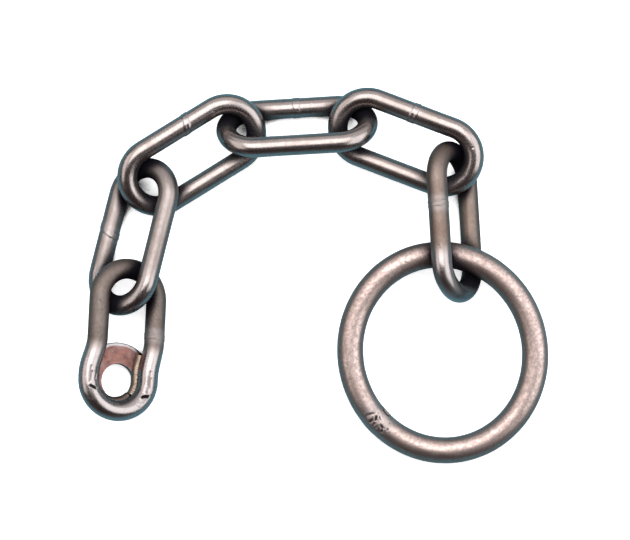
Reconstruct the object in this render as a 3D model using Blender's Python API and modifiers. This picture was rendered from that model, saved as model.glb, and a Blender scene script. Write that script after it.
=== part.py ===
"""A short chain of straight-sided links, with a large ring at one end and a washer at the other.

The chain lies in an arc on a level floor, +Z up. Every length is in metres. Link 1 is the end link, with
the washer welded under its lower bend. Link 6 carries the ring.
"""

import math
from typing import NamedTuple

import bmesh
import bpy
from mathutils import Matrix, Vector

MM = 0.001
GAP = 0.3 * MM  # kept between pieces that touch

# The links, bent from round bar
BAR = 9.5 * MM
LINK_LENGTH = 74.0 * MM
LINK_WIDTH = 37.4 * MM
BEND_STEPS = 12
BAR_SIDES = 12

# The end link's lower bend was pushed to one side, and opened a little, when the washer was welded on
BEND_SHIFT = 2.8 * MM
BEND_OPENS = 1.1 * MM
SHIFT_STARTS = 0.0 * MM
SHIFT_RUNS = 16.0 * MM
SHIFT_STEPS = 12

# The ring, forged slightly oval
RING_BAR = 12.0 * MM
RING_WIDTH = 95.0 * MM
RING_HEIGHT = 100.6 * MM
RING_STEPS = 48
RING_SIDES = 16

# The washer
WASHER_OUTSIDE = 35.4 * MM
WASHER_HOLE = 15.5 * MM
WASHER_THICKNESS = 2.5 * MM
WASHER_AHEAD = -0.2 * MM  # from the bend's middle along the link
WASHER_ASIDE = 0.9 * MM  # from the link's axis
WASHER_CHAMFER = 0.3 * MM
WASHER_STEPS = 48


class Lie(NamedTuple):
    """How a piece lies: its middle in plan, in millimetres, where its long axis points, how much that
    axis rises, how far the piece leans over, in degrees, and how far its neighbours hold it off the floor.
    """

    x: float
    y: float
    heading: float
    rise: float
    lean: float
    lift: float


LIES = {
    "link_1": Lie(-84.85, -33.0, 88, -2.2, 30, 0),
    "link_2": Lie(-82.4, 14.1, 76.5, 0, -31, 0),
    "link_3": Lie(-55.9, 51.1, 32, 0.5, 25.5, 2.9),
    "link_4": Lie(-8.2, 64.3, 3.5, 0, -42.5, 0),
    "link_5": Lie(41.1, 56.7, -21.5, 2.5, 20.5, 5.15),
    "link_6": Lie(63.1, 20.2, -87, 0, -56, 0),
    "ring": Lie(57.5, -38.6, 13, 2.5, 6.5, 0),
}

# Where each piece turns on the one before it: an upright axis through their interlock, in plan, in millimetres
PIVOTS = {
    "link_2": (-86.0, -16.0),
    "link_3": (-79.7, 42.2),
    "link_4": (-32.8, 69.4),
    "link_5": (21.4, 70.8),
    "link_6": (61.9, 48.0),
    "ring": (64.2, -9.9),
}

STEEL = (0.33, 0.27, 0.25)
RING_STEEL = (0.36, 0.29, 0.26)
WASHER_STEEL = (0.42, 0.23, 0.17)


def clear_scene():
    for obj in list(bpy.data.objects):
        bpy.data.objects.remove(obj, do_unlink=True)


def metal(name, colour, roughness):
    """A bare metal surface."""
    material = bpy.data.materials.new(name)
    material.use_nodes = True
    surface = material.node_tree.nodes["Principled BSDF"]
    surface.inputs["Base Color"].default_value = (*colour, 1.0)
    surface.inputs["Metallic"].default_value = 1.0
    surface.inputs["Roughness"].default_value = roughness
    return material


def link_outline():
    """The centre line of a straight-sided link, in its own plane, long axis along X."""
    bend_radius = (LINK_WIDTH - BAR) / 2
    straight = (LINK_LENGTH - LINK_WIDTH) / 2
    points = []
    for end in (1, -1):
        for step in range(BEND_STEPS + 1):
            turn = math.pi * (step / BEND_STEPS - 0.5)
            bend = Vector((straight + bend_radius * math.cos(turn), bend_radius * math.sin(turn), 0))
            points.append(end * bend)
    return points


def with_cut_sides(points):
    """The same closed outline, with its two long sides cut into short runs."""
    fine = []
    for point, following in zip(points, points[1:] + points[:1]):
        fine.append(point)
        if (following - point).length > BAR:
            fine += [point.lerp(following, step / SHIFT_STEPS) for step in range(1, SHIFT_STEPS)]
    return fine


def end_link_outline():
    """The end link's centre line: its lower bend lies a little to one side, and is a little wider."""
    points = with_cut_sides(link_outline())
    wider = BEND_OPENS / (LINK_WIDTH - BAR)
    for point in points:
        along = min(max((-point.x - SHIFT_STARTS) / SHIFT_RUNS, 0), 1)
        point.y += (BEND_SHIFT + wider * point.y) * along * along * (3 - 2 * along)
    return points


def oval(width, height, steps, level=0.0):
    """An oval of this width and height, flat at this level."""
    turns = [2 * math.pi * step / steps for step in range(steps)]
    return [Vector((width / 2 * math.cos(turn), height / 2 * math.sin(turn), level)) for turn in turns]


def bent_bar(name, outline, thickness, sides, material):
    """Round bar bent along a closed outline and welded end to end."""
    curve = bpy.data.curves.new(name, "CURVE")
    curve.dimensions = "3D"
    curve.bevel_depth = thickness / 2
    curve.bevel_resolution = (sides - 4) // 2
    spline = curve.splines.new("POLY")
    spline.points.add(len(outline) - 1)
    for point, place in zip(spline.points, outline):
        point.co = (*place, 1)
    spline.use_cyclic_u = True
    spline.use_smooth = True
    curve.materials.append(material)
    return bpy.data.objects.new(name, curve)


def washer(name, material):
    """A turned washer: its section is spun about Z."""
    outside = WASHER_OUTSIDE / 2
    inside = WASHER_HOLE / 2
    top = WASHER_THICKNESS / 2
    edge = WASHER_CHAMFER
    section = [
        (outside - edge, top),
        (outside, top - edge),
        (outside, edge - top),
        (outside - edge, -top),
        (inside + edge, -top),
        (inside, edge - top),
        (inside, top - edge),
        (inside + edge, top),
    ]
    mesh = bpy.data.meshes.new(name)
    shape = bmesh.new()
    corners = [shape.verts.new((radius, 0, height)) for radius, height in section]
    for corner, following in zip(corners, corners[1:] + corners[:1]):
        shape.edges.new((corner, following))
    shape.to_mesh(mesh)
    shape.free()
    mesh.materials.append(material)
    obj = bpy.data.objects.new(name, mesh)
    turned = obj.modifiers.new("Turned", "SCREW")
    turned.steps = WASHER_STEPS
    turned.render_steps = WASHER_STEPS
    turned.use_merge_vertices = True
    turned.merge_threshold = 0.00005
    return obj


def lying(lie, feet, radius):
    """The matrix of a piece that lies on the floor, or this far above it, on spheres of a radius at its feet."""
    heading = Matrix.Rotation(math.radians(lie.heading), 4, "Z")
    rise = Matrix.Rotation(-math.radians(lie.rise), 4, "Y")
    lean = Matrix.Rotation(math.radians(lie.lean), 4, "X")
    turn = heading @ rise @ lean
    lowest = min((turn @ foot).z for foot in feet)
    return Matrix.Translation((lie.x * MM, lie.y * MM, lie.lift * MM + radius - lowest)) @ turn


def under_bend():
    """Where the washer lies on the end link, in that link's own frame."""
    bend_middle = (LINK_WIDTH - LINK_LENGTH) / 2
    under = -(BAR + WASHER_THICKNESS) / 2 - GAP
    return Matrix.Translation((bend_middle + WASHER_AHEAD, WASHER_ASIDE, under))


def washer_rim():
    """The washer's lower edge, in the end link's own frame."""
    rim = oval(WASHER_OUTSIDE, WASHER_OUTSIDE, WASHER_STEPS, -WASHER_THICKNESS / 2)
    return [under_bend() @ point for point in rim]


def axis_empty(name, place, carrier, collection):
    """An empty at a place in plan, carried by another."""
    empty = bpy.data.objects.new(name, None)
    empty.empty_display_size = BAR
    collection.objects.link(empty)
    if carrier:
        empty.parent = carrier
        empty.matrix_parent_inverse = carrier.matrix_world.inverted()
    empty.location = (place[0] * MM, place[1] * MM, 0)
    bpy.context.view_layer.update()
    return empty


def set_on_origin(carrier, pieces):
    """Moves the carrier, so that the middle of the pieces' box is over the origin and its floor is at zero."""
    bpy.context.view_layer.update()
    graph = bpy.context.evaluated_depsgraph_get()
    corners = []
    for piece in pieces:
        evaluated = piece.evaluated_get(graph)
        mesh = evaluated.to_mesh()
        corners += [piece.matrix_world @ vertex.co for vertex in mesh.vertices]
        evaluated.to_mesh_clear()
    low = [min(corner[axis] for corner in corners) for axis in range(3)]
    high = [max(corner[axis] for corner in corners) for axis in range(3)]
    carrier.location = ((low[0] + high[0]) / -2, (low[1] + high[1]) / -2, -low[2])


def shaped(name):
    """The piece of this name, lying where it lies."""
    if name == "ring":
        outline = oval(RING_WIDTH - RING_BAR, RING_HEIGHT - RING_BAR, RING_STEPS)
        piece = bent_bar(name, outline, RING_BAR, RING_SIDES, metal("ring_steel", RING_STEEL, 0.4))
        return piece, lying(LIES[name], outline, RING_BAR / 2)
    if name == "link_1":
        piece = bent_bar(name, end_link_outline(), BAR, BAR_SIDES, metal("link_1_steel", STEEL, 0.35))
        return piece, lying(LIES[name], washer_rim(), 0)
    piece = bent_bar(name, link_outline(), BAR, BAR_SIDES, metal(name + "_steel", STEEL, 0.35))
    return piece, lying(LIES[name], link_outline(), BAR / 2)


def build():
    clear_scene()
    chain = bpy.data.collections.new("ring_end_chain")
    bpy.context.scene.collection.children.link(chain)
    whole = axis_empty("whole_chain", (0, 0), None, chain)
    carrier = whole
    pieces = []
    for name in LIES:
        if name in PIVOTS:
            carrier = axis_empty(name + "_pivot", PIVOTS[name], carrier, chain)
        piece, place = shaped(name)
        placed = [(piece, place)]
        if name == "link_1":
            disc = washer("washer", metal("washer_steel", WASHER_STEEL, 0.5))
            placed.append((disc, place @ under_bend()))
        for obj, matrix in placed:
            chain.objects.link(obj)
            obj.parent = carrier
            obj.matrix_parent_inverse = carrier.matrix_world.inverted()
            obj.matrix_basis = matrix
            pieces.append(obj)
    set_on_origin(whole, pieces)


build()
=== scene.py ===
"""The looks of a short steel chain with a ring at one end and a washer at the other.

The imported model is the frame. Each link and the ring is a bar swept along its centre line, with its weld,
unevenness and knocks as real shape. Lengths are in metres, angles in degrees, unless they say otherwise.
"""

import math
import random
from typing import NamedTuple

import bmesh
import bpy
from bpy.props import FloatProperty, FloatVectorProperty, IntProperty, PointerProperty
from mathutils import Matrix, Vector


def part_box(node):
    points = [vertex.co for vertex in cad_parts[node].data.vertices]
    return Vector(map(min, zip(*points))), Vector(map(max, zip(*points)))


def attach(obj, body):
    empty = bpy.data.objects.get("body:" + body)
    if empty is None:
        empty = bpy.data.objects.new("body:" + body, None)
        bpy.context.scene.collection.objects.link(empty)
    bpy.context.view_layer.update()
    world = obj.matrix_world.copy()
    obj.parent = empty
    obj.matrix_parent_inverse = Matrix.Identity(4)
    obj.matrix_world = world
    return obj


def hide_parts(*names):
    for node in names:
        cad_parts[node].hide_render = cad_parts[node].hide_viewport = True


bl_info = {
    "name": "Ring-end chain",
    "version": (1, 0, 0),
    "blender": (4, 5, 0),
    "location": "3D View > Sidebar > Chain",
    "description": "Makes a short steel chain with a ring and a welded washer, and the stage that it lies on",
    "category": "Object",
}

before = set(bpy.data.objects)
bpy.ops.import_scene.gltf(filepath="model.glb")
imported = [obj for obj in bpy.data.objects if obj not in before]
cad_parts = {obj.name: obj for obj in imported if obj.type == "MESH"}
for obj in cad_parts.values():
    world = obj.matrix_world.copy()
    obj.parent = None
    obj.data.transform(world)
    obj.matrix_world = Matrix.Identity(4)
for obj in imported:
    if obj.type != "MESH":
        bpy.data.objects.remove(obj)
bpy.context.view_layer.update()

MM = 0.001
PER_MM = 1 / MM
FULL_TURN = 2 * math.pi

# How far along the end link its lower bend is pushed aside
PUSHED_OVER = 16 * MM

# How long a weld is along its bar, and how many small dings a bar has besides the marks below
LINK_WELD = 3.4 * MM
RING_WELD = 9 * MM
LINK_DINGS = 14
RING_DINGS = 20
SHORTEST_CUT = 0.02  # in millimetres

# Where the ring's weld is, in degrees round the ring, the faces round its bar and their length
RING_WELD_TURN = 210.7
RING_SIDES = 96
RING_GRID = 0.4 * MM
RING_SEED = 11

# How far the washer's edges are rolled over: outside and inside above, and both below
ROLLED_OUTSIDE = 0.6 * MM
ROLLED_INSIDE = 0.4 * MM
ROLLED_BELOW = 0.2 * MM

# Colours of the painted shade in the metal's hollows and of the painted shadow on the floor between bars, and
# of the room that the metal mirrors
METAL_PAINTED_SHADE = (0.002, 0.002, 0.005)
FLOOR_PAINTED_SHADOW = (0.004, 0.004, 0.006)
ROOM_SOUTH = (0.045, 0.028, 0.03)
ROOM_NORTH = (0.26, 0.26, 0.27)
ROOM_LOW = (0.24, 0.215, 0.21)
ROOM_SEEN = (0.85, 0.85, 0.86)

# The shares of open sky at which the floor's painted shadow is darkest and at which it starts
FLOOR_SHUT = 0.355
FLOOR_OPEN = 0.405


class Lie(NamedTuple):
    """How a piece lies: where its long axis points, how much that axis rises, and how far it leans over."""

    heading: float
    rise: float
    lean: float


LIES = {
    "link_1": Lie(88, -2.2, 30),
    "link_2": Lie(76.5, 0, -31),
    "link_3": Lie(32, 0.5, 25.5),
    "link_4": Lie(3.5, 0, -42.5),
    "link_5": Lie(-21.5, 2.5, 20.5),
    "link_6": Lie(-87, 0, -56),
    "ring": Lie(13, 2.5, 6.5),
}


class Knock(NamedTuple):
    """A nick or a pit in a bar: how far along the bar from its weld, in millimetres, how far round it from
    its outer side towards its top, in degrees, the length of the cut and how it is turned from across the
    bar, then its reach and depth in millimetres.
    """

    along: float
    around: float
    length: float
    turn: float
    reach: float
    depth: float


class Bend(NamedTuple):
    """What is each link's own: the side of its weld, how far the weld is off the middle in millimetres, how
    high it and its lip stand and how it slants, how dull and how browned the link is, how far each end is
    rubbed bright, and how far from the link's middle that starts, in millimetres.
    """

    side: int
    off: float
    swell: float
    lip: float
    slant: float
    dullness: float
    browning: float
    rubbed_ahead: float
    rubbed_behind: float
    bright_from: float
    seed: int


LINKS = {
    "link_1": Bend(-1, 2.2, 0.12, 0.2, 0.1, 1.4, 0.6, 0.1, 1.0, 0.0, 1),
    "link_2": Bend(1, 0.7, 0.14, 0.3, 0.5, 0.55, 0.2, 0.2, 1.0, 12.0, 2),
    "link_3": Bend(1, 4.8, 0.2, 0.28, 0.35, 0.1, 0.15, 1.0, 1.0, 14.0, 3),
    "link_4": Bend(1, 0.2, 0.16, 0.26, 0.0, 0.1, 0.2, 1.0, 1.0, 14.0, 4),
    "link_5": Bend(1, -0.7, 0.18, 0.28, 0.1, 0.15, 0.25, 1.0, 1.0, 14.0, 5),
    "link_6": Bend(-1, -6.6, 0.1, 0.3, 0.1, 0.75, 0.9, 1.0, 0.1, 10.0, 6),
}

# The marks that the photo shows on each bar
KNOCKS = {
    "link_1": (
        Knock(101.1, 87, 3.0, -34, 0.75, 0.7),
        Knock(133.4, 99, 2.6, 39, 1.0, 0.9),
        # These long grooves along the lower bend are darkened like dirt in cuts. Their dark is a painted
        # reflection: the dark streaks that split the bend's highlight.
        Knock(93.6, 77, 3.0, 90, 0.9, 0.3),
        Knock(96.2, 81, 3.4, 84, 1.1, 0.33),
        Knock(97.0, 75, 3.0, 88, 0.9, 0.3),
        Knock(96.6, 111, 2.4, 80, 0.5, 0.3),
        Knock(143.9, 104, 3.0, 90, 0.9, 0.3),
        Knock(141.4, 109, 3.4, 86, 1.1, 0.33),
        Knock(140.6, 102, 3.4, 90, 1.2, 0.34),
        Knock(137.8, 106, 3.0, 84, 1.0, 0.32),
        Knock(64.1, 88, 1.4, 60, 0.45, 0.12),
        Knock(7.5, 98, 1.8, 5, 0.45, 0.12),
    ),
    "link_2": (Knock(36.0, 70, 1.6, 30, 0.5, 0.12), Knock(120.0, 95, 1.2, 100, 0.45, 0.1)),
    "link_3": (Knock(14.0, 100, 1.6, 70, 0.4, 0.1),),
    "link_4": (Knock(96.0, 80, 1.4, 20, 0.4, 0.1),),
    "link_5": (Knock(31.3, 81, 0.6, 0, 0.5, 0.22), Knock(0.0, 96, 1.4, 60, 0.5, 0.14)),
    "link_6": (
        Knock(18.7, 18, 0.5, 0, 0.45, 0.25),
        Knock(20.0, 26, 0.6, 0, 0.45, 0.2),
        Knock(-8.0, 40, 1.5, 80, 0.4, 0.1),
    ),
    "ring": (
        Knock(-3.9, 89, 4.2, -23, 0.55, 0.4),
        Knock(-1.0, 92, 1.2, 40, 0.95, 0.6),
        Knock(-1.5, 68, 1.0, 10, 0.9, 0.55),
        Knock(3.6, 84, 1.4, 70, 0.8, 0.45),
        Knock(4.8, 70, 0.8, 20, 0.7, 0.5),
        Knock(0.2, 106, 1.2, 60, 0.6, 0.4),
        Knock(6.3, 92, 0.6, 0, 0.6, 0.35),
        Knock(5.1, 124, 0.8, 30, 0.5, 0.25),
        Knock(0.5, 150, 2.8, 90, 0.95, 0.9),
        Knock(185.8, 90, 0.4, 0, 0.5, 0.25),
    ),
}

# Patches of small pits: their two ends along the bar in millimetres and round it in degrees, and how many
RASHES = {"link_1": ((126.5, 132.5), (82, 102), 10), "ring": ((-5, 7), (52, 124), 16)}


class Bead(NamedTuple):
    """A bead that holds the washer. It runs along the end link's lower bend, this far from the bar's centre
    line towards the inside of the bend, this high and of this radius, in millimetres, between two turns
    round the bend, in degrees, and tapers over this share of its length at each end.
    """

    inward: float
    height: float
    radius: float
    first: float
    last: float
    first_taper: float
    last_taper: float


BEADS = {
    # weld_left and weld_outside are dark as painted shade, the shade under the bar's flank.
    "weld_left": Bead(4.5, -4.2, 1.9, -24, 136, 0.15, 0.85),
    "weld_right": Bead(3.5, -4.9, 2.3, 142, 229, 0.7, 0.1),
    "weld_outside": Bead(-2.0, -5.0, 0.8, 40, 140, 0.22, 0.22),
}


class Lamp(NamedTuple):
    """A soft lamp: how far off it hangs in metres, how far it is tipped from overhead to the north and to
    the east, half of what it spans each way, in degrees, its brightness and its tint.
    """

    distance: float
    north: float
    east: float
    wide_north: float
    wide_east: float
    glow: float
    tint: tuple


LAMPS = {
    "key_lamp": Lamp(0.75, 12.5, -3, 22, 26, 4.3, (0.99, 0.99, 1.0)),
    "right_lamp": Lamp(0.65, -5, 51, 29, 23, 3.0, (0.93, 0.97, 1.0)),
    "left_lamp": Lamp(1.0, 2, -50, 28, 15, 2.0, (1.0, 0.98, 0.96)),
    "north_lamp": Lamp(1.2, 54, 10, 18, 44, 1.05, (0.99, 0.99, 1.0)),
}


def length(name, description, default):
    """A property for a length. Its default is in millimetres."""
    return FloatProperty(name=name, description=description, default=default * MM, unit="LENGTH")


def tint(name, description, default):
    """A property for a colour."""
    return FloatVectorProperty(name=name, description=description, default=default, size=3, subtype="COLOR")


class ChainSizes(bpy.types.PropertyGroup):
    """Sizes of the links, the ring and the washer."""

    bar: length("Bar", "Thickness of the links' round bar", 9.14)
    link_length: length("Link Length", "Length of a link, outside", 73.54)
    link_width: length("Link Width", "Width of a link, outside", 36.92)
    bend_shift: length("Bend Shift", "How far the end link's lower bend lies to one side", 2.8)
    bend_opens: length("Bend Opens", "How much wider the end link is at its lower bend", 1.1)
    ring_bar: length("Ring Bar", "Thickness of the ring's round bar", 11.8)
    ring_width: length("Ring Width", "Width of the ring, outside", 94.85)
    ring_height: length("Ring Height", "Height of the ring, outside", 100.35)
    washer_outside: length("Washer", "Diameter of the washer", 35.1)
    washer_hole: length("Washer Hole", "Diameter of the washer's hole", 15.6)
    washer_thickness: length("Washer Thickness", "Thickness of the washer", 2.46)
    under_bar: length("Under Bar", "From the end link's centre line down to the washer's middle", 6.2)
    washer_ahead: length("Washer Ahead", "From the bend's middle along the link to the washer's middle", -0.2)
    washer_aside: length("Washer Aside", "From the end link's axis to the washer's middle", 0.9)
    grid: length("Grid", "Length of a face of the swept bars", 0.38)
    sides: IntProperty(name="Sides", description="Faces round a bar", default=80, min=12)


class ChainFinish(bpy.types.PropertyGroup):
    """Colours of the bare metal."""

    steel: tint("Steel", "Clean worn steel", (0.34, 0.295, 0.28))
    dull: tint("Dull", "Dull grey steel", (0.2, 0.175, 0.165))
    polished: tint("Polished", "Steel rubbed bright", (0.31, 0.27, 0.26))
    brown: tint("Brown", "Browned, tarnished steel", (0.16, 0.11, 0.084))
    ring_steel: tint("Ring Steel", "The ring's satin steel", (0.56, 0.44, 0.405))
    copper: tint("Heat Tint", "The washer's red-brown face", (0.215, 0.108, 0.094))
    rust: tint("Rust", "Orange rust in small patches", (0.36, 0.135, 0.08))
    straw: tint("Straw", "Heat tint beside a weld", (0.36, 0.255, 0.15))
    rim: tint("Rim", "The washer's rim, worn bright", (0.31, 0.29, 0.29))
    scale: tint("Scale", "Brown scale where a weld was hottest", (0.12, 0.07, 0.05))
    # Soot is dirt in cuts and pits, and the painted reflection in the end link's long grooves.
    soot: tint("Soot", "Dirt in cuts and pits", (0.03, 0.022, 0.02))


class StageSettings(bpy.types.PropertyGroup):
    """The camera, the floor and the lamps."""

    aim: FloatVectorProperty(
        name="Aim", description="The point that the camera looks at", subtype="TRANSLATION", size=3,
        default=(0.036 * MM, 3.6 * MM, 0),
    )
    elevation: FloatProperty(
        name="Elevation", description="How high the camera stands", subtype="ANGLE",
        default=math.radians(83.9),
    )
    distance: length("Distance", "From the camera to its aim", 843)
    lens: FloatProperty(name="Lens", description="Focal length in millimetres", default=104.9, min=1)
    floor: tint("Floor", "The pale floor", (0.9, 0.9, 0.9))
    # Painted light: the floor glows for the camera, except in its painted shadow, which lifts its soft
    # shadows.
    floor_glow: FloatProperty(
        name="Floor Glow", description="Light that evens out the floor's soft shadows, as a lit table does",
        default=0.6, min=0,
    )
    # This reach sets where the floor is painted dark as shadow between the bars.
    closed_in: length("Closed In", "How near the bars must be to darken the floor between them", 14)
    mirrored_floor: tint("Mirrored Floor", "The floor as the metal mirrors it", (0.16, 0.34, 0.42))


def step(operation, swapped=False):
    """A method that adds a Math node."""
    return lambda *values: calc(operation, *(values[::-1] if swapped else values))


class Output:
    """A node's output. Arithmetic on it adds Math nodes to its tree."""

    def __init__(self, socket):
        self.socket = socket
        self.tree = socket.id_data

    def beside(self, name):
        """Another output of the same node."""
        return Output(self.socket.node.outputs[name])

    __add__ = step("ADD")
    __sub__ = step("SUBTRACT")
    __rsub__ = step("SUBTRACT", swapped=True)
    __mul__ = step("MULTIPLY")
    __truediv__ = step("DIVIDE")
    __rtruediv__ = step("DIVIDE", swapped=True)
    __abs__ = step("ABSOLUTE")


def wire(value, socket):
    """Gives a socket its value: another node's output, a colour of three numbers, or a plain value."""
    if isinstance(value, Output):
        socket.id_data.links.new(value.socket, socket)
    elif socket.type == "RGBA":
        socket.default_value = (*value, 1.0)
    else:
        socket.default_value = value


def found(sockets, key):
    """The socket with this identifier, or else with this name or number."""
    return {socket.identifier: socket for socket in sockets}.get(key) or sockets[key]


def add(tree, kind, output, values=None, **settings):
    """One output of a new node with these settings and these values on its inputs."""
    node = tree.nodes.new(kind)
    for setting, value in settings.items():
        setattr(node, setting, value)
    for key, value in (values or {}).items():
        wire(value, found(node.inputs, key))
    return Output(found(node.outputs, output))


def calc(operation, *values):
    """The result of a Math node."""
    tree = next(value.tree for value in values if isinstance(value, Output))
    return add(tree, "ShaderNodeMath", 0, dict(enumerate(values)), operation=operation)


def fade(value, low, high, start=1.0, end=0.0):
    """Goes smoothly from one number to another while the value goes from low to high."""
    spans = {"Value": value, "From Min": low, "From Max": high, "To Min": start, "To Max": end}
    return add(value.tree, "ShaderNodeMapRange", "Result", spans, interpolation_type="SMOOTHSTEP")


def noise(place, scale, detail=2.0, roughness=0.5, seed=0.0):
    """Even noise between 0 and 1, with this many clouds to the metre."""
    values = {"Vector": place, "Scale": scale, "Detail": detail, "Roughness": roughness, "W": seed}
    return add(place.tree, "ShaderNodeTexNoise", "Fac", values, noise_dimensions="4D")


def mixed(share, first, second):
    """One colour going over into another."""
    values = {"Factor_Float": share, "A_Color": first, "B_Color": second}
    return add(share.tree, "ShaderNodeMix", "Result_Color", values, data_type="RGBA")


def new_group(name, inputs, outputs={"Geometry": "Geometry"}):
    """An empty node group, its input sockets inside and its output sockets inside. An input is given by its
    number or by its type, and an output by its type.
    """
    tree = bpy.data.node_groups.new(name, "GeometryNodeTree" if "Geometry" in outputs else "ShaderNodeTree")
    for label, value in inputs.items():
        kind = {float: "Float", int: "Int", str: value}[type(value)]
        socket = tree.interface.new_socket(label, in_out="INPUT", socket_type="NodeSocket" + kind)
        if kind != value:
            socket.default_value = value
    for label, kind in outputs.items():
        tree.interface.new_socket(label, in_out="OUTPUT", socket_type="NodeSocket" + kind)
    given = {socket.name: Output(socket) for socket in tree.nodes.new("NodeGroupInput").outputs}
    return tree, given, tree.nodes.new("NodeGroupOutput").inputs


def shared(maker):
    """The node group of a maker's name, made the first time that it is asked for."""
    return bpy.data.node_groups.get(maker.__name__) or maker()


def use(tree, maker, output, values):
    """One output of a shared node group, placed in a tree with these values."""
    group = shared(maker)
    kind = "ShaderNodeGroup" if group.bl_idname == "ShaderNodeTree" else "GeometryNodeGroup"
    return add(tree, kind, output, values, node_tree=group)


def captured(geometry, values):
    """The geometry with these fields kept on its points. The kept fields are beside it."""
    node = geometry.tree.nodes.new("GeometryNodeCaptureAttribute")
    wire(geometry, node.inputs["Geometry"])
    for label, value in values.items():
        node.capture_items.new("FLOAT", label)
        wire(value, node.inputs[label])
    return Output(node.outputs["Geometry"])


def stored(geometry, name, value, data_type="FLOAT"):
    """The geometry with a field kept under a name that its material reads."""
    values = {"Geometry": geometry, "Name": name, "Value": value}
    return add(geometry.tree, "GeometryNodeStoreNamedAttribute", "Geometry", values, data_type=data_type)


def near_lines(marker):
    """The lines of an object, and how far the surface is from them."""
    lines = add(marker.tree, "GeometryNodeObjectInfo", "Geometry", {"Object": marker})
    away = add(marker.tree, "GeometryNodeProximity", "Distance", {"Geometry": lines}, target_element="EDGES")
    return lines, away


def by_welds(welds, reach):
    """How near the surface is to the washer's welds: 1 beside them and 0 beyond this reach."""
    away = near_lines(welds)[1]
    return fade(away, 1.0 * MM, reach) * away.beside("Is Valid")


def curve_along(path, grid):
    """A path as a curve with its normals upright, cut into pieces of this length."""
    curve = add(path.tree, "GeometryNodeMeshToCurve", "Curve", {"Mesh": path})
    values = {"Curve": curve, "Length": grid}
    curve = add(path.tree, "GeometryNodeResampleCurve", "Curve", values, mode="LENGTH")
    return add(path.tree, "GeometryNodeSetCurveNormal", "Curve", {"Curve": curve}, mode="Z_UP")


def round_skin(run, sides, radius, caps):
    """The skin of a round bar along a curve, and how far round the bar each point is, in radians."""
    tree = run.tree
    section = add(tree, "GeometryNodeCurvePrimitiveCircle", "Curve", {"Resolution": sides, "Radius": radius})
    turn = captured(section, {"Around": add(tree, "GeometryNodeSplineParameter", "Factor")})
    values = {"Curve": run, "Profile Curve": turn, "Fill Caps": caps}
    return add(tree, "GeometryNodeCurveToMesh", "Mesh", values), turn.beside("Around") * FULL_TURN


def worn_skin():
    """Geometry Nodes: lifts and lowers a surface by its unevenness, its ripple and its knocks."""
    inputs = {
        "Geometry": "Geometry",
        "Lift": 0.0,
        "Unevenness": 0.05 * MM,
        "Unevenness Size": 9 * MM,
        "Ripple": 0.02 * MM,
        "Ripple Size": 2.4 * MM,
        "Knocks": "Object",
        "Seed": 0.0,
    }
    tree, given, result = new_group("worn_skin", inputs)
    place = add(tree, "GeometryNodeInputPosition", "Position")
    broad = noise(place, 1 / given["Unevenness Size"], 1.0, 0.5, given["Seed"]) - 0.5
    fine = noise(place, 1 / given["Ripple Size"], 2.0, 0.5, given["Seed"]) - 0.5
    cuts, away = near_lines(given["Knocks"])
    nearest = add(tree, "GeometryNodeSampleNearest", "Index", {"Geometry": cuts}, domain="EDGE")

    def of_nearest(name):
        value = add(tree, "GeometryNodeInputNamedAttribute", 0, {"Name": name}, data_type="FLOAT")
        values = {"Geometry": cuts, "Value": value, "Index": nearest}
        return add(tree, "GeometryNodeSampleIndex", "Value", values, data_type="FLOAT", domain="EDGE")

    reach = of_nearest("reach")
    depth = of_nearest("depth")
    cut = fade(away, 0.0, reach) * away.beside("Is Valid")
    burr = fade(abs(away - reach), 0.0, 0.4 * MM)
    height = given["Lift"] + (burr * 0.18 - cut) * depth
    height = height + (broad * given["Unevenness"] + fine * given["Ripple"])
    # Cuts are darker the deeper they are: dirt in cuts, and a painted reflection in the end link's long
    # grooves.
    dark = calc("MINIMUM", cut * fade(depth, 0.15 * MM, 0.6 * MM, 0.15, 1.5), 1.0)
    values = {"Vector": add(tree, "GeometryNodeInputNormal", "Normal"), "Scale": height}
    offset = add(tree, "ShaderNodeVectorMath", "Vector", values, operation="SCALE")
    values = {"Geometry": stored(given["Geometry"], "knocked", dark), "Offset": offset}
    wire(add(tree, "GeometryNodeSetPosition", "Geometry", values), result["Geometry"])
    return tree


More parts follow.
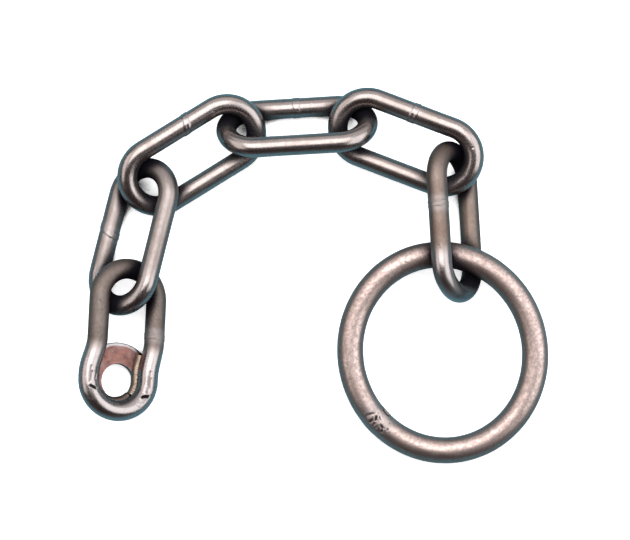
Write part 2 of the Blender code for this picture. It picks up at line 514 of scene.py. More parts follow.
def swept_bar():
    """Geometry Nodes: a round bar swept along a closed path that starts at its butt weld."""
    inputs = {
        "Path": "Geometry",
        "Bar": 9.5 * MM,
        "Sides": 72,
        "Grid": 0.42 * MM,
        "Bright From": 14 * MM,
        "Rubbed Ahead": 1.0,
        "Rubbed Behind": 1.0,
        "Weld Length": LINK_WELD,
        "Weld Swell": 0.3 * MM,
        "Weld Lip": 0.2 * MM,
        "Weld Slant": 0.0,
        "Unevenness": 0.09 * MM,
        "Ripple": 0.025 * MM,
        "Knocks": "Object",
        "Welds": "Object",
        "Seed": 0.0,
        "Metal": "Material",
    }
    tree, given, result = new_group("swept_bar", inputs)
    place = add(tree, "GeometryNodeInputPosition", "Position")
    kept = {
        "Along": add(tree, "GeometryNodeSplineParameter", "Length"),
        "Whole": add(tree, "GeometryNodeSplineLength", "Length"),
        "Off Middle": add(tree, "ShaderNodeSeparateXYZ", "X", {"Vector": place}),
    }
    run = captured(curve_along(given["Path"], given["Grid"]), kept)
    along, whole, off_middle = (run.beside(label) for label in kept)
    radius = given["Bar"] / 2
    skin, angle = round_skin(run, given["Sides"], radius, False)
    across = calc("COSINE", angle) * radius
    up = calc("SINE", angle) * radius

    from_weld = along - calc("GREATER_THAN", along, whole / 2) * whole
    wander = (noise(place, PER_MM / 4, 1.0) - 0.5) * (0.8 * MM)
    off_weld = abs(from_weld + across * given["Weld Slant"] + wander)
    half = given["Weld Length"] / 2
    swell = fade(off_weld, half * 0.3, half) * given["Weld Swell"]
    patchy = fade(noise(place, PER_MM / 2, 1.0), 0.3, 0.7, 0.3, 1.0) * given["Weld Lip"]
    lip = fade(abs(off_weld - half * 0.62), 0.0, 0.55 * MM) * patchy

    skin = stored(skin, "welded", fade(off_weld, half, half * 3))
    bright = (given["Bright From"], given["Bright From"] + 8 * MM)
    ahead = fade(off_middle, *bright, 0.0, given["Rubbed Ahead"])
    behind = fade(off_middle * -1, *bright, 0.0, given["Rubbed Behind"])
    skin = stored(skin, "rubbed", calc("MAXIMUM", ahead, behind))
    skin = stored(skin, "heated", by_welds(given["Welds"], 3.5 * MM))
    bar_space = add(tree, "ShaderNodeCombineXYZ", "Vector", {"X": along, "Y": across, "Z": up})
    values = {"Geometry": stored(skin, "bar_space", bar_space, "FLOAT_VECTOR"), "Lift": swell + lip}
    for label in ("Unevenness", "Ripple", "Knocks", "Seed"):
        values[label] = given[label]
    return finished(values, given, result)


def worn_plate():
    """Geometry Nodes: the washer's turned blank, made worn, with where it is rubbed and where it was hot."""
    inputs = {"Blank": "Geometry", "Rim": 17 * MM, "Hole": 8 * MM, "Welds": "Object", "Metal": "Material"}
    tree, given, result = new_group("worn_plate", inputs)
    place = add(tree, "GeometryNodeInputPosition", "Position")
    flat = add(tree, "ShaderNodeVectorMath", "Vector", {0: place, 1: (1, 1, 0)}, operation="MULTIPLY")
    out = add(tree, "ShaderNodeVectorMath", "Value", {0: flat}, operation="LENGTH")
    out = out + (noise(place, PER_MM / 4) - 0.5) * (0.9 * MM)
    start = given["Rim"] - 1.7 * MM
    rim = fade(out, start, start + 0.5 * MM, 0.0, 1.0)
    hole = fade(out, given["Hole"], given["Hole"] + 0.6 * MM)
    plate = stored(given["Blank"], "rubbed", calc("MAXIMUM", rim, hole * 0.6))
    plate = stored(plate, "heated", by_welds(given["Welds"], 2.8 * MM))
    return finished({"Geometry": plate, "Seed": 21.0}, given, result)


def weld_bead():
    """Geometry Nodes: a weld bead along an open path, rippled along its length, with tapered ends."""
    inputs = {
        "Path": "Geometry",
        "Bead": 1.2 * MM,
        "First Taper": 0.2,
        "Last Taper": 0.2,
        "Sides": 30,
        "Grid": 0.2 * MM,
        "Ripple Length": 1.1 * MM,
        "Ripple Height": 0.16 * MM,
        "Seed": 0.0,
        "Metal": "Material",
    }
    tree, given, result = new_group("weld_bead", inputs)
    share = add(tree, "GeometryNodeSplineParameter", "Factor")
    at_first = fade(share, 0.0, given["First Taper"], 0.25, 1.0)
    full = calc("MINIMUM", at_first, fade(1 - share, 0.0, given["Last Taper"], 0.25, 1.0))
    values = {"Curve": curve_along(given["Path"], given["Grid"]), "Radius": full}
    tapered = add(tree, "GeometryNodeSetCurveRadius", "Curve", values)
    run = captured(tapered, {"Along": share.beside("Length")})
    skin, angle = round_skin(run, given["Sides"], given["Bead"], True)
    place = add(tree, "GeometryNodeInputPosition", "Position")
    loose = noise(place, PER_MM / 2.5, 1.0, 0.5, given["Seed"]) * 1.5
    phase = run.beside("Along") / given["Ripple Length"] + (calc("SINE", angle) * 0.8 + loose)
    scale = abs(calc("SINE", phase * math.pi))
    values = {
        "Geometry": stored(skin, "scale", scale),
        "Lift": scale * given["Ripple Height"],
        "Unevenness": 0.3 * MM,
        "Unevenness Size": 2.2 * MM,
        "Ripple": 0.08 * MM,
        "Ripple Size": 0.8 * MM,
        "Seed": given["Seed"],
    }
    return finished(values, given, result)


def finished(values, given, result):
    """The tree of a shape, after its last nodes: smooth, real geometry with a worn skin, in its material."""
    tree = values["Geometry"].tree
    geometry = use(tree, worn_skin, "Geometry", values)
    geometry = add(tree, "GeometryNodeSetShadeSmooth", "Geometry", {"Geometry": geometry})
    geometry = add(tree, "GeometryNodeRealizeInstances", "Geometry", {"Geometry": geometry})
    values = {"Geometry": geometry, "Material": given["Metal"]}
    wire(add(tree, "GeometryNodeSetMaterial", "Geometry", values), result["Geometry"])
    return tree


def shown(name, data):
    """A new object of this mesh, lamp or camera, in the scene."""
    obj = bpy.data.objects.new(name, data)
    bpy.context.scene.collection.objects.link(obj)
    return obj


def drawn(name, shape):
    """A mesh of this finished bmesh, which is then freed."""
    mesh = bpy.data.meshes.new(name)
    shape.to_mesh(mesh)
    shape.free()
    return mesh


def line_mesh(name, lines, closed=False):
    """A mesh of lines, each through its own points."""
    shape = bmesh.new()
    for points in lines:
        corners = [shape.verts.new(point) for point in points]
        for pair in zip(corners, corners[1:]):
            shape.edges.new(pair)
        if closed:
            shape.edges.new((corners[-1], corners[0]))
    return drawn(name, shape)


def shaped(name, source, maker, values, place):
    """The mesh that a node group makes of a source mesh, put in its place as a new object at the origin."""
    tree = shared(maker)
    guide = shown(name + "_guide", source)
    modifier = guide.modifiers.new("Shape", "NODES")
    modifier.node_group = tree
    for socket in tree.interface.items_tree:
        if socket.item_type == "SOCKET" and socket.name in values:
            modifier[socket.identifier] = values[socket.name]
    bpy.context.view_layer.update()
    graph = bpy.context.evaluated_depsgraph_get()
    mesh = bpy.data.meshes.new_from_object(guide.evaluated_get(graph), depsgraph=graph)
    mesh.transform(place)
    bpy.data.objects.remove(guide, do_unlink=True)
    mesh.name = name
    return shown(name, mesh)


def pairs(points):
    """Each point of a closed outline with the one after it."""
    return zip(points, points[1:] + points[:1])


def lengths_of(points):
    """The length from each point of a closed outline to the next."""
    return [(following - point).length for point, following in pairs(points)]


def cut_fine(points, grid):
    """A closed outline, cut into pieces of about this length."""
    fine = []
    for point, following in pairs(points):
        pieces = max(1, round((following - point).length / grid))
        fine += [point.lerp(following, piece / pieces) for piece in range(pieces)]
    return fine


def link_path(sizes, bend):
    """A link's centre line in its own plane, long axis along X, from its weld round to its weld."""
    reach = (sizes.link_length - sizes.link_width) / 2
    half = (sizes.link_width - sizes.bar) / 2
    steps = 60
    points = [Vector((bend.off * MM, half, 0)), Vector((reach, half, 0))]
    for end, first in ((1, 1), (-1, 0)):
        for step in range(first, steps + 1):
            turn = math.pi * (0.5 * end - step / steps)
            points.append(Vector((end * reach + half * math.cos(turn), half * math.sin(turn), 0)))
    return [Vector((point.x, point.y * bend.side, 0)) for point in cut_fine(points, MM)]


def pushed_aside(points, sizes):
    """The end link's centre line: its lower bend lies a little to one side, and is a little wider."""
    wider = sizes.bend_opens / (sizes.link_width - sizes.bar)
    for point in points:
        along = min(max(-point.x / PUSHED_OVER, 0), 1)
        point.y += (sizes.bend_shift + wider * point.y) * along * along * (3 - 2 * along)
    return points


def ring_path(sizes):
    """The ring's centre line from its weld round to its weld."""
    steps = 360
    across = (sizes.ring_width - sizes.ring_bar) / 2
    down = (sizes.ring_height - sizes.ring_bar) / 2
    turns = [math.radians(RING_WELD_TURN) + FULL_TURN * step / steps for step in range(steps)]
    return [Vector((across * math.cos(turn), down * math.sin(turn), 0)) for turn in turns]


def on_bar(path, radius, knock):
    """The two ends of a knock's cut on the skin of a bar that follows a closed path."""
    lengths = lengths_of(path)
    left = (knock.along * MM) % sum(lengths)
    index = 0
    while left > lengths[index]:
        left -= lengths[index]
        index += 1
    start, end = path[index], path[(index + 1) % len(path)]
    ahead = (end - start).normalized()
    centre = start + ahead * left
    aside = Vector((ahead.y, -ahead.x, 0))
    if aside.dot(centre) < 0:
        aside.negate()
    angle = math.radians(knock.around)
    out = aside * math.cos(angle) + Vector((0, 0, 1)) * math.sin(angle)
    across = ahead.cross(out)
    turn = math.radians(knock.turn)
    cut = (across * math.cos(turn) + ahead * math.sin(turn)) * max(knock.length, SHORTEST_CUT) * MM / 2
    middle = centre + out * radius
    return middle - cut, middle + cut


def scattered(seed, count, along, around, lengths, reach, depth):
    """Small knocks at random, each measure between its two ends and each length one of these."""
    dice = random.Random(seed)
    knocks = []
    for _ in range(count):
        place = (dice.uniform(*along), dice.uniform(*around))
        cut = (dice.choice(lengths), dice.uniform(0, 180))
        knocks.append(Knock(*place, *cut, dice.uniform(*reach), dice.uniform(*depth)))
    return knocks


def knocks_of(name, path, radius, dings, seed):
    """An object with every mark of this piece, the photo's and a few of its own, as short edges on the bar's
    skin, each with its reach and depth.
    """
    whole = sum(lengths_of(path)) / MM
    sizes = ((0, 0, 0.8, 1.6), (0.4, 0.8), (0.03, 0.09))
    knocks = [*KNOCKS[name], *scattered(seed, dings, (3, whole - 3), (0, 360), *sizes)]
    if name in RASHES:
        *ends, pits = RASHES[name]
        sizes = ((0, 0.4, 0.9), (0.4, 0.7), (0.12, 0.3))
        knocks += scattered(seed, pits, *ends, *sizes)
    shape = bmesh.new()
    reach = shape.edges.layers.float.new("reach")
    depth = shape.edges.layers.float.new("depth")
    for knock in knocks:
        edge = shape.edges.new([shape.verts.new(end) for end in on_bar(path, radius, knock)])
        edge[reach] = knock.reach * MM
        edge[depth] = knock.depth * MM
    return shown(name + "_knocks", drawn(name + "_knocks", shape))


def middle_of(node):
    """The middle of a CAD node's box."""
    low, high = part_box(node)
    return (low + high) / 2


def under_bend(sizes):
    """Where the washer's middle is, in the end link's own frame."""
    bend = (sizes.link_width - sizes.link_length) / 2
    return Matrix.Translation((bend + sizes.washer_ahead, sizes.washer_aside, -sizes.under_bar))


def bead_paths(sizes):
    """The centre line of each of the washer's weld beads, in the end link's own frame."""
    bend = (sizes.link_width - sizes.link_length) / 2
    half = (sizes.link_width - sizes.bar) / 2
    steps = 60
    paths = {}
    for name, bead in BEADS.items():
        out = half - bead.inward * MM
        points = []
        for step in range(steps + 1):
            turn = bead.first + (bead.last - bead.first) * step / steps
            straight = max(0, -turn, turn - 180) * math.radians(half)
            turn = math.radians(90 + min(max(turn, 0), 180))
            along = bend + out * math.cos(turn) + straight
            points.append(Vector((along, out * math.sin(turn), bead.height * MM)))
        paths[name] = pushed_aside(points, sizes)
    return paths


def bead_lines(sizes, place):
    """An object with the centre lines of the beads, seen from this place."""
    lines = [[place @ point for point in points] for points in bead_paths(sizes).values()]
    return shown("bead_lines", line_mesh("bead_lines", lines))


def washer_blank(sizes):
    """The stamped washer: its section, rolled over along its upper edges, spun about Z."""
    outside = sizes.washer_outside / 2
    inside = sizes.washer_hole / 2
    top = sizes.washer_thickness / 2

    def corner(radius, height, roll, out, up):
        arc = []
        for step in range(6):
            turn = math.pi / 2 * step / 5
            inward = out * roll * (1 - math.cos(turn))
            arc.append(Vector((radius - inward, 0, height - up * roll * (1 - math.sin(turn)))))
        return arc if out * up > 0 else arc[::-1]

    section = corner(outside, top, ROLLED_OUTSIDE, 1, 1) + corner(inside, top, ROLLED_INSIDE, -1, 1)
    section += corner(inside, -top, ROLLED_BELOW, -1, -1) + corner(outside, -top, ROLLED_BELOW, 1, -1)
    shape = bmesh.new()
    corners = [shape.verts.new(point) for point in cut_fine(section, sizes.grid)]
    edges = [shape.edges.new(pair) for pair in pairs(corners)]
    spin = {"cent": (0, 0, 0), "axis": (0, 0, 1), "angle": FULL_TURN, "steps": 240}
    bmesh.ops.spin(shape, geom=corners + edges, use_merge=True, **spin)
    bmesh.ops.recalc_face_normals(shape, faces=shape.faces)
    return drawn("washer_blank", shape)


def centre_on(piece, node):
    """Moves a piece's mesh, so that the middle of its box is the middle of its CAD node's box."""
    corners = [vertex.co for vertex in piece.data.vertices]
    low = Vector([min(corner[axis] for corner in corners) for axis in range(3)])
    high = Vector([max(corner[axis] for corner in corners) for axis in range(3)])
    piece.data.transform(Matrix.Translation(middle_of(node) - (low + high) / 2))


def place_of(node, sizes):
    """A piece's place and turn, from the middle of its CAD box, or of the washer's for the end link."""
    lie = LIES[node]
    heading = Matrix.Rotation(math.radians(lie.heading), 4, "Z")
    rise = Matrix.Rotation(-math.radians(lie.rise), 4, "Y")
    turn = heading @ rise @ Matrix.Rotation(math.radians(lie.lean), 4, "X")
    if node == "link_1":
        return Matrix.Translation(middle_of("washer")) @ turn @ under_bend(sizes).inverted()
    return Matrix.Translation(middle_of(node)) @ turn


def cloudy_patches():
    """Shader nodes: cloudy patches, 0 to 1."""
    inputs = {"Place": "Vector", "Scale": 120.0, "Cover": 0.5, "Softness": 0.25, "Seed": 0.0}
    tree, given, result = new_group("cloudy_patches", inputs, {"Mask": "Float"})
    clouds = noise(given["Place"], given["Scale"], 5.0, 0.62, given["Seed"])
    edge = 1 - given["Cover"]
    mask = fade(clouds, edge - given["Softness"], edge + given["Softness"], 0.0, 1.0)
    wire(mask, result["Mask"])
    return tree


def drawn_lines():
    """Shader nodes: fine lines along a bar, from being drawn through a die."""
    inputs = {"Bar Space": "Vector", "Fineness": 2600.0}
    tree, given, result = new_group("drawn_lines", inputs, {"Height": "Float"})
    values = {"Vector": given["Bar Space"], "Scale": (0.06, 1.0, 1.0)}
    stretched = add(tree, "ShaderNodeMapping", "Vector", values)
    wire(noise(stretched, given["Fineness"], 3.0, 0.6), result["Height"])
    return tree


def satin_grit():
    """Shader nodes: a satin tooth with shallow dimples and scattered pits."""
    inputs = {"Place": "Vector", "Fineness": 2200.0, "Dimples": 1.0, "Pits": 0.3}
    tree, given, result = new_group("satin_grit", inputs, {"Height": "Float", "Pit Mask": "Float"})
    place = given["Place"]
    tooth = noise(place, given["Fineness"], 3.0, 0.65)
    dimple = noise(place, PER_MM / 1.5, 1.0) * given["Dimples"]
    cells = add(tree, "ShaderNodeTexVoronoi", "Distance", {"Vector": place, "Scale": 480.0}, feature="F1")
    pit = fade(cells, 0.0, given["Pits"] * noise(place, PER_MM / 6) + 0.001)
    wire(tooth + dimple - pit * 1.5, result["Height"])
    wire(pit, result["Pit Mask"])
    return tree


def heat_tint():
    """Shader nodes: steel going over into straw and then into brown scale towards a weld."""
    inputs = {"Steel": "Color", "Straw": "Color", "Scale": "Color", "Heat": 0.0, "Place": "Vector"}
    tree, given, result = new_group("heat_tint", inputs, {"Colour": "Color"})
    loose = (noise(given["Place"], PER_MM / 2, 3.0) - 0.5) * 0.5
    hot = given["Heat"] + loose * given["Heat"]
    warm = mixed(fade(hot, 0.15, 0.6, 0.0, 0.85), given["Steel"], given["Straw"])
    wire(mixed(fade(hot, 0.7, 1.0, 0.0, 0.8), warm, given["Scale"]), result["Colour"])
    return tree


def closed_in():
    """Shader nodes: how closed in the surface is by metal near it, 0 to 1, used as the share of painted
    shade.
    """
    inputs = {"Reach": 12 * MM, "Open": 0.9, "Shut": 0.5}
    tree, given, result = new_group("closed_in", inputs, {"Shade": "Float"})
    sky = add(tree, "ShaderNodeAmbientOcclusion", "AO", {"Distance": given["Reach"]}, samples=8)
    wire(fade(sky, given["Shut"], given["Open"]), result["Shade"])
    return tree


def opened(name, kind="ShaderNodeTexCoord", output="Object"):
    """A new material with no shine but the metal's, its shader's inputs and an output of its first node."""
    material = bpy.data.materials.new(name)
    material.use_nodes = True
    inputs = material.node_tree.nodes["Principled BSDF"].inputs
    inputs["Specular IOR Level"].default_value = 0.0
    return material, inputs, add(material.node_tree, kind, output)


def attribute(tree, name, output="Fac"):
    """A field that the piece's own shape keeps."""
    return add(tree, "ShaderNodeAttribute", output, attribute_name=name)


def patches(place, scale, cover, softness, seed):
    """Cloudy patches of this fineness, cover and softness."""
    values = {"Place": place, "Scale": scale, "Cover": cover, "Softness": softness, "Seed": seed}
    return use(place.tree, cloudy_patches, "Mask", values)


def grit(place, dimples, pits):
    """The height of the satin grit. The mask of its pits is beside it."""
    return use(place.tree, satin_grit, "Height", {"Place": place, "Dimples": dimples, "Pits": pits})


def heated(tone, place, finish):
    """The tone, with its heat tint beside the washer's welds."""
    values = {"Steel": tone, "Straw": finish.straw, "Scale": finish.scale, "Place": place}
    values["Heat"] = attribute(tone.tree, "heated")
    return use(tone.tree, heat_tint, "Colour", values)


def toned(first, second, share):
    """A colour between two others."""
    return tuple(a + (b - a) * share for a, b in zip(first, second))


def finish_metal(inputs, tone, rough, height, depth, reach=12.0, shut=0.6, open_from=0.92):
    """Gives the metal its colour, roughness and fine relief of this depth. Where other metal within this
    reach closes it in, it is painted black and matt as shade. Depth and reach are in millimetres.
    """
    tree = tone.tree
    shade = use(tree, closed_in, "Shade", {"Reach": reach * MM, "Shut": shut, "Open": open_from})
    # Painted shade: the colour goes to black where other metal closes the surface in.
    wire(mixed(shade * 0.98, tone, METAL_PAINTED_SHADE), inputs["Base Color"])
    wire(fade(shade, 0.75, 1.0), inputs["Metallic"])
    wire(calc("MAXIMUM", rough, shade), inputs["Roughness"])
    values = {"Strength": 1.0, "Distance": depth * MM, "Height": height}
    wire(add(tree, "ShaderNodeBump", "Normal", values), inputs["Normal"])


def bar_metal(name, steel, finish, dullness, browning, seed, speckle, tooth=1.0, dimples=0.6, painted_flank_shade=0.0):
    """Bare bar: clean where it is rubbed, browned in patches elsewhere, with dirt in its cuts, painted shade
    browning its flanks and blackening its hollows, and a painted reflection in the dark of the end link's
    long grooves.
    """
    material, inputs, place = opened(name)
    tree = place.tree
    rubbed = attribute(tree, "rubbed")
    steel = toned(toned(steel, finish.dull, dullness), finish.brown, 0.45 * browning)
    browned = patches(place, 95.0, 0.3 + 0.3 * browning, 0.22, seed)
    browned = browned * ((1 - rubbed * 0.55) * (0.3 + 0.5 * browning))
    small = patches(place, 420.0, 0.42, 0.2, seed + 0.5)
    rough_skin = grit(place, dimples, 0.16 + 0.12 * dullness)
    lines = use(tree, drawn_lines, "Height", {"Bar Space": attribute(tree, "bar_space", "Vector")})
    up = add(tree, "ShaderNodeSeparateXYZ", "Z", {"Vector": place.beside("Normal")})
    specks = fade(noise(place, PER_MM / 1.1, 2.0, 0.6, seed + 0.7), 0.35, 0.65, 0.0, 1.0)
    # Dirt in cuts and pits. In the end link's long grooves this dark is a painted reflection.
    dirt = calc("MAXIMUM", attribute(tree, "knocked"), rough_skin.beside("Pit Mask") * 0.6)
    tone = mixed(browned, steel, finish.brown)
    tone = mixed(small * 0.25, tone, finish.brown)
    # Painted shade: brown over the bar's sides and underside, fading out towards its top.
    tone = mixed(fade(up, 0.5, 0.97, painted_flank_shade, 0.0), tone, finish.brown)
    tone = mixed(specks * speckle, tone, toned(steel, finish.soot, 0.6))
    tone = mixed(attribute(tree, "welded") * 0.6, tone, finish.polished)
    tone = mixed(rubbed * min(1.0, 1.2 * dullness), tone, finish.polished)
    tone = mixed(dirt * 0.92, heated(tone, place, finish), finish.soot)
    rough = browned * 0.16 + (0.235 + 0.19 * dullness + 0.065 * (tooth - 1))
    rough = rough + small * 0.05 + specks * (0.2 * speckle) - rubbed * (0.2 * dullness) + dirt * 0.25
    height = (rough_skin * tooth + lines * 0.6) * (1 - rubbed * 0.45)
    finish_metal(inputs, tone, rough, height, 0.008)
    return material


def washer_metal(finish):
    """The washer: a red-brown face with rust, rubbed bright along its rim, tinted by the welds."""
    material, inputs, place = opened("washer_steel_red")
    tree = place.tree
    dark = patches(place, 230.0, 0.45, 0.15, 31.0)
    pale = patches(place, 480.0, 0.42, 0.12, 32.0)
    rust = patches(place, 700.0, 0.4, 0.1, 33.0)
    rough_skin = grit(place, 1.5, 0.6)
    worn = attribute(tree, "rubbed") * fade(rough_skin, 0.6, 1.4, 0.7, 1.0)
    dirt = calc("MAXIMUM", attribute(tree, "knocked"), rough_skin.beside("Pit Mask") * 0.8)
    tone = mixed(dark * 0.75, finish.copper, toned(finish.copper, finish.soot, 0.6))
    tone = mixed(pale * 0.5, tone, toned(finish.rim, finish.copper, 0.4))
    tone = mixed(rust * 0.7, tone, finish.rust)
    tone = mixed(worn, tone, finish.rim)
    tone = mixed(dirt * 0.8, heated(tone, place, finish), finish.soot)
    rough = 0.52 - worn * 0.2 + dark * 0.1
    finish_metal(inputs, tone, rough, rough_skin, 0.02, 4, 0.25, 0.75)
    return material


def weld_metal(name, fresh, finish):
    """Weld beads of this colour, with brown patches, dark between their ripples."""
    material, inputs, place = opened(name)
    tree = place.tree
    rough_skin = grit(place, 1.0, 0.4)
    valley = fade(attribute(tree, "scale"), 0.0, 0.45) * 0.35
    dirt = calc("MAXIMUM", valley, rough_skin.beside("Pit Mask"))
    tone = mixed(patches(place, 260.0, 0.5, 0.2, 41.0) * 0.6, fresh, finish.brown)
    tone = mixed(dirt * 0.7, tone, finish.soot)
    finish_metal(inputs, tone, dirt * 0.3 + 0.42, rough_skin, 0.015, 1, 0.1, 0.5)
    return material


def finish_piece(piece, body, slot, *nodes):
    """Puts a finished piece on the body that it rides on, and hides the CAD parts that it stands for. The
    slot is not used.
    """
    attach(piece, body)
    if nodes:
        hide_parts(*nodes)


def make_bar(sizes, name, slot, path, bar, dings, seed, values):
    """Makes a link or the ring: bar of this thickness, swept along its path, knocked and put in its place."""
    knocks = knocks_of(name, path, bar / 2, dings, seed)
    values = {"Bar": bar, "Knocks": knocks, "Seed": float(seed), **values}
    source = line_mesh(name + "_path", [path], closed=True)
    piece = shaped("steel_" + name, source, swept_bar, values, place_of(name, sizes))
    bpy.data.objects.remove(knocks, do_unlink=True)
    if name != "link_1":
        centre_on(piece, name)
    finish_piece(piece, name, slot, name)


class CHAIN_OT_links(bpy.types.Operator):
    """Makes the six links"""

    bl_idname = "chain.links"
    bl_label = "Make Links"

    def execute(self, context):
        sizes = context.scene.chain_sizes
        finish = context.scene.chain_finish
        welds = bead_lines(sizes, Matrix())
        for name, bend in LINKS.items():
            path = link_path(sizes, bend)
            if name == "link_1":
                path = pushed_aside(path, sizes)
            values = {
                "Sides": sizes.sides,
                "Grid": sizes.grid,
                "Bright From": bend.bright_from * MM,
                "Rubbed Ahead": bend.rubbed_ahead,
                "Rubbed Behind": bend.rubbed_behind,
                "Weld Swell": bend.swell * MM,
                "Weld Lip": bend.lip * MM,
                "Weld Slant": bend.slant,
                "Welds": welds if name == "link_1" else None,
                "Metal": bar_metal(
                    name + "_steel", finish.steel, finish, bend.dullness, bend.browning, bend.seed,
                    speckle=0.12 + 0.12 * bend.dullness,
                ),
            }
            make_bar(sizes, name, "link_steel", path, sizes.bar, LINK_DINGS, bend.seed, values)
        bpy.data.objects.remove(welds, do_unlink=True)
        return {"FINISHED"}


class CHAIN_OT_ring(bpy.types.Operator):
    """Makes the ring"""

    bl_idname = "chain.ring"
    bl_label = "Make Ring"

    def execute(self, context):
        sizes = context.scene.chain_sizes
        finish = context.scene.chain_finish
        values = {
            "Sides": RING_SIDES,
            "Grid": RING_GRID,
            "Bright From": 1.0,
            "Weld Length": RING_WELD,
            "Weld Swell": 0.12 * MM,
            "Weld Lip": 0.1 * MM,
            "Unevenness": 0.14 * MM,
            "Ripple": 0.03 * MM,
            "Metal": bar_metal(
                "ring_steel_satin", finish.ring_steel, finish, 0.0, 0.35, RING_SEED,
                speckle=0.6, tooth=2.4, dimples=2.6, painted_flank_shade=0.6,
            ),
        }
        path = ring_path(sizes)
        make_bar(sizes, "ring", "ring_steel", path, sizes.ring_bar, RING_DINGS, RING_SEED, values)
        return {"FINISHED"}


class CHAIN_OT_washer(bpy.types.Operator):
    """Makes the washer"""

    bl_idname = "chain.washer"
    bl_label = "Make Washer"

    def execute(self, context):
        sizes = context.scene.chain_sizes
        under = under_bend(sizes)
        welds = bead_lines(sizes, under.inverted())
        values = {
            "Rim": sizes.washer_outside / 2,
            "Hole": sizes.washer_hole / 2,
            "Welds": welds,
            "Metal": washer_metal(context.scene.chain_finish),
        }
        place = place_of("link_1", sizes) @ under
        piece = shaped("steel_washer", washer_blank(sizes), worn_plate, values, place)
        bpy.data.objects.remove(welds, do_unlink=True)
        finish_piece(piece, "link_1", "washer_steel", "washer")
        return {"FINISHED"}


class CHAIN_OT_beads(bpy.types.Operator):
    """Makes the weld beads that hold the washer to the end link"""

    bl_idname = "chain.beads"
    bl_label = "Make Weld Beads"

    def execute(self, context):
        sizes = context.scene.chain_sizes
        finish = context.scene.chain_finish
        fresh = toned(finish.steel, finish.straw, 0.5)
        # Painted shade: every bead except weld_right is dark, like the shaded underside of the bar.
        painted_shade_tone = toned(finish.dull, finish.soot, 0.75)
        for seed, (name, path) in enumerate(bead_paths(sizes).items()):
            bead = BEADS[name]
            values = {
                "Bead": bead.radius * MM,
                "First Taper": bead.first_taper,
                "Last Taper": bead.last_taper,
                "Seed": 51.0 + seed,
                "Metal": weld_metal(name + "_steel", fresh if name == "weld_right" else painted_shade_tone, finish),
            }
            source = line_mesh(name + "_path", [path])
            piece = shaped(name, source, weld_bead, values, place_of("link_1", sizes))
            finish_piece(piece, "link_1", "link_steel")
        return {"FINISHED"}


def slope(degrees):
    return math.tan(math.radians(degrees))


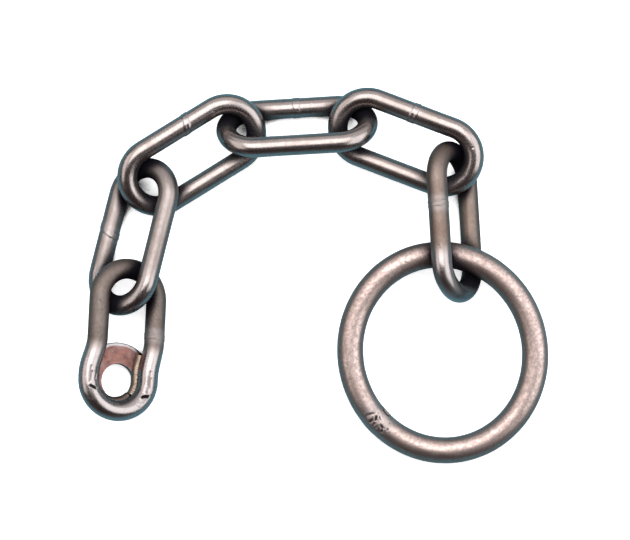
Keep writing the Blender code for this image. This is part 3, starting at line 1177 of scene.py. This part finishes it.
class CHAIN_OT_stage(bpy.types.Operator):
    """Sets up the floor, the lamps, the surroundings and the camera"""

    bl_idname = "chain.stage"
    bl_label = "Set Stage"

    def execute(self, context):
        settings = context.scene.chain_stage
        self.floor(settings)
        for name, lamp in LAMPS.items():
            self.hang(name, settings, lamp)
        self.surroundings(context.scene)
        self.camera(context.scene, settings)
        context.scene.view_settings.view_transform = "Standard"
        return {"FINISHED"}

    def floor(self, settings):
        """A plain pale floor with painted shadow where bars close it in and a painted glow for the camera
        elsewhere, which the metal mirrors darker and blue-green.
        """
        shape = bmesh.new()
        bmesh.ops.create_grid(shape, x_segments=1, y_segments=1, size=4)
        mesh = drawn("floor", shape)
        material, inputs, mirrored = opened("pale_floor", "ShaderNodeLightPath", "Is Glossy Ray")
        inputs["Roughness"].default_value = 0.9
        tone = mixed(mirrored, settings.floor, settings.mirrored_floor)
        # Painted shadow: the floor goes dark where the bars close it in.
        values = {"Distance": settings.closed_in}
        sky = add(mirrored.tree, "ShaderNodeAmbientOcclusion", "AO", values, samples=32)
        shade = fade(sky, FLOOR_SHUT, FLOOR_OPEN) * 0.97
        wire(mixed(shade, tone, FLOOR_PAINTED_SHADOW), inputs["Base Color"])
        # Painted light: the floor glows for the camera where it is open.
        glow = (1 - shade) * settings.floor_glow * mirrored.beside("Is Camera Ray")
        wire(glow, inputs["Emission Strength"])
        wire((1, 1, 1), inputs["Emission Color"])
        mesh.materials.append(material)
        shown("floor", mesh)

    def hang(self, name, settings, lamp):
        """A soft lamp that looks at the middle."""
        data = bpy.data.lights.new(name, "AREA")
        data.shape = "RECTANGLE"
        data.size = 2 * lamp.distance * slope(lamp.wide_east)
        data.size_y = 2 * lamp.distance * slope(lamp.wide_north)
        data.energy = lamp.glow * math.pi * data.size * data.size_y
        data.color = lamp.tint
        placed = shown(name, data)
        out = Vector((slope(lamp.east), slope(lamp.north), 1)).normalized()
        placed.location = Vector(settings.aim) + out * lamp.distance
        along_east = (Vector((1, 0, 0)) - out * out.x).normalized()
        placed.rotation_euler = Matrix((along_east, out.cross(along_east), out)).transposed().to_euler()
        placed.visible_camera = False

    def surroundings(self, scene):
        """A dim room for the metal to mirror, pale where the camera sees it."""
        world = bpy.data.worlds.new("studio")
        world.use_nodes = True
        tree = world.node_tree
        way = add(tree, "ShaderNodeTexCoord", "Generated")
        north = add(tree, "ShaderNodeSeparateXYZ", "Y", {"Vector": way})
        room = mixed(fade(north, -0.4, 0.6, 0.0, 1.0), ROOM_SOUTH, ROOM_NORTH)
        room = mixed(fade(north.beside("Z"), 0.1, 0.42) * 0.6, room, ROOM_LOW)
        seen = add(tree, "ShaderNodeLightPath", "Is Camera Ray")
        wire(mixed(seen, room, ROOM_SEEN), tree.nodes["Background"].inputs["Color"])
        scene.world = world

    def camera(self, scene, settings):
        """The camera, over the chain and a little in front of it."""
        data = bpy.data.cameras.new("camera")
        data.lens = settings.lens
        data.sensor_width = 36
        camera = shown("camera", data)
        back = Vector((0, -math.cos(settings.elevation), math.sin(settings.elevation)))
        camera.location = Vector(settings.aim) + back * settings.distance
        camera.rotation_euler = (math.pi / 2 - settings.elevation, 0, 0)
        scene.camera = camera


class VIEW3D_PT_chain(bpy.types.Panel):
    """Lists the sizes, the colours and the makers"""

    bl_label = "Ring-End Chain"
    bl_space_type = "VIEW_3D"
    bl_region_type = "UI"
    bl_category = "Chain"

    def draw(self, context):
        for group in GROUPS:
            settings = getattr(context.scene, group)
            box = self.layout.box()
            for name in settings.__annotations__:
                box.prop(settings, name)
        for operator in OPERATORS:
            self.layout.operator(operator.bl_idname)


GROUPS = {"chain_sizes": ChainSizes, "chain_finish": ChainFinish, "chain_stage": StageSettings}
OPERATORS = (CHAIN_OT_stage, CHAIN_OT_links, CHAIN_OT_ring, CHAIN_OT_washer, CHAIN_OT_beads)


def register():
    for name, group in GROUPS.items():
        bpy.utils.register_class(group)
        setattr(bpy.types.Scene, name, PointerProperty(type=group))
    for operator in OPERATORS:
        bpy.utils.register_class(operator)
    bpy.utils.register_class(VIEW3D_PT_chain)


def unregister():
    bpy.utils.unregister_class(VIEW3D_PT_chain)
    for operator in reversed(OPERATORS):
        bpy.utils.unregister_class(operator)
    for name, group in GROUPS.items():
        delattr(bpy.types.Scene, name)
        bpy.utils.unregister_class(group)


def main():
    register()
    bpy.ops.chain.stage()
    bpy.ops.chain.links()
    bpy.ops.chain.ring()
    bpy.ops.chain.washer()
    bpy.ops.chain.beads()


if __name__ == "__main__":
    main()
